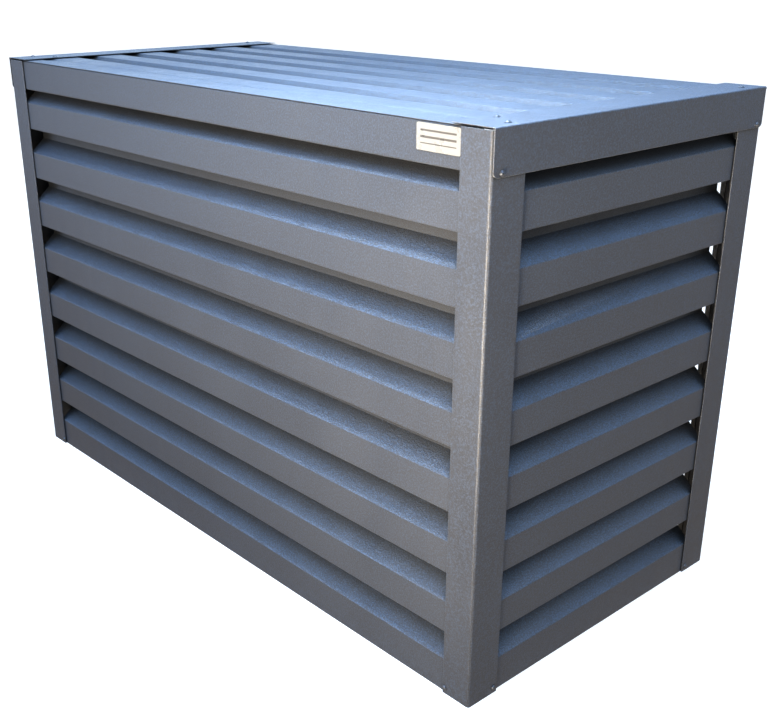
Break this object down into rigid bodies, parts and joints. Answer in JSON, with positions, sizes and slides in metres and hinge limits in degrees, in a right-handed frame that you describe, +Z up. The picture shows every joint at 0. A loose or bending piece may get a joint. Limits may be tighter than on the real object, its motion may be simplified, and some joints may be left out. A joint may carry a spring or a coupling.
{
  "type": "louvred generator housing",
  "caption": "Folded sheet-steel louvred housing with a ribbed roof, open at the back and base, that stands over a standby generator or an outdoor unit to screen it while air passes through.",
  "frame": {"origin": "on the ground, at the centre of the footprint", "axes": "+Z up, the long louvred front faces -Y, the open back faces +Y, the housing's length runs along X"},
  "size_m": [1.245, 0.5976, 0.8025],
  "materials": {
    "post_coating": "satin anthracite powder coat with a fine texture on folded galvanised steel",
    "slat_coating": "satin anthracite powder coat with a fine texture on folded galvanised steel",
    "roof_coating": "satin anthracite powder coat with a fine texture on ribbed galvanised steel",
    "carrier_coating": "satin anthracite powder coat, inside the housing",
    "screw_head": "painted washer head on zinc-plated steel",
    "plate": "blank cream plate, slightly glossy"
  },
  "bodies": {
    "root": {"blank_plate": "plate", "front_left_foot_screw": "screw_head", "front_left_post": "post_coating", "front_left_slat_carrier": "carrier_coating", "front_middle_slat_carrier": "carrier_coating", "front_right_foot_screw": "screw_head", "front_right_post": "post_coating", "front_right_slat_carrier": "carrier_coating", "front_slat_1": "slat_coating", "front_slat_2": "slat_coating", "front_slat_3": "slat_coating", "front_slat_4": "slat_coating", "front_slat_5": "slat_coating", "front_slat_6": "slat_coating", "front_slat_7": "slat_coating", "front_slat_8": "slat_coating", "front_top_rail": "post_coating", "left_cap_front_screw": "screw_head", "left_cap_rear_screw": "screw_head", "left_front_foot_screw": "screw_head", "left_front_slat_carrier": "carrier_coating", "left_rear_foot_screw": "screw_head", "left_rear_slat_carrier": "carrier_coating", "left_roof_cap": "post_coating", "left_roof_inner_screw": "screw_head", "left_roof_outer_screw": "screw_head", "left_roof_rear_screw": "screw_head", "left_slat_1": "slat_coating", "left_slat_2": "slat_coating", "left_slat_3": "slat_coating", "left_slat_4": "slat_coating", "left_slat_5": "slat_coating", "left_slat_6": "slat_coating", "left_slat_7": "slat_coating", "left_slat_8": "slat_coating", "left_top_rail": "post_coating", "rear_left_post": "post_coating", "rear_right_post": "post_coating", "rear_top_rail": "post_coating", "right_cap_front_screw": "screw_head", "right_cap_rear_screw": "screw_head", "right_front_foot_screw": "screw_head", "right_front_slat_carrier": "carrier_coating", "right_rear_foot_screw": "screw_head", "right_rear_slat_carrier": "carrier_coating", "right_roof_cap": "post_coating", "right_roof_inner_screw": "screw_head", "right_roof_outer_screw": "screw_head", "right_roof_rear_screw": "screw_head", "right_slat_1": "slat_coating", "right_slat_2": "slat_coating", "right_slat_3": "slat_coating", "right_slat_4": "slat_coating", "right_slat_5": "slat_coating", "right_slat_6": "slat_coating", "right_slat_7": "slat_coating", "right_slat_8": "slat_coating", "right_top_rail": "post_coating", "roof_sheet": "roof_coating"}
  },
  "joints": []
}
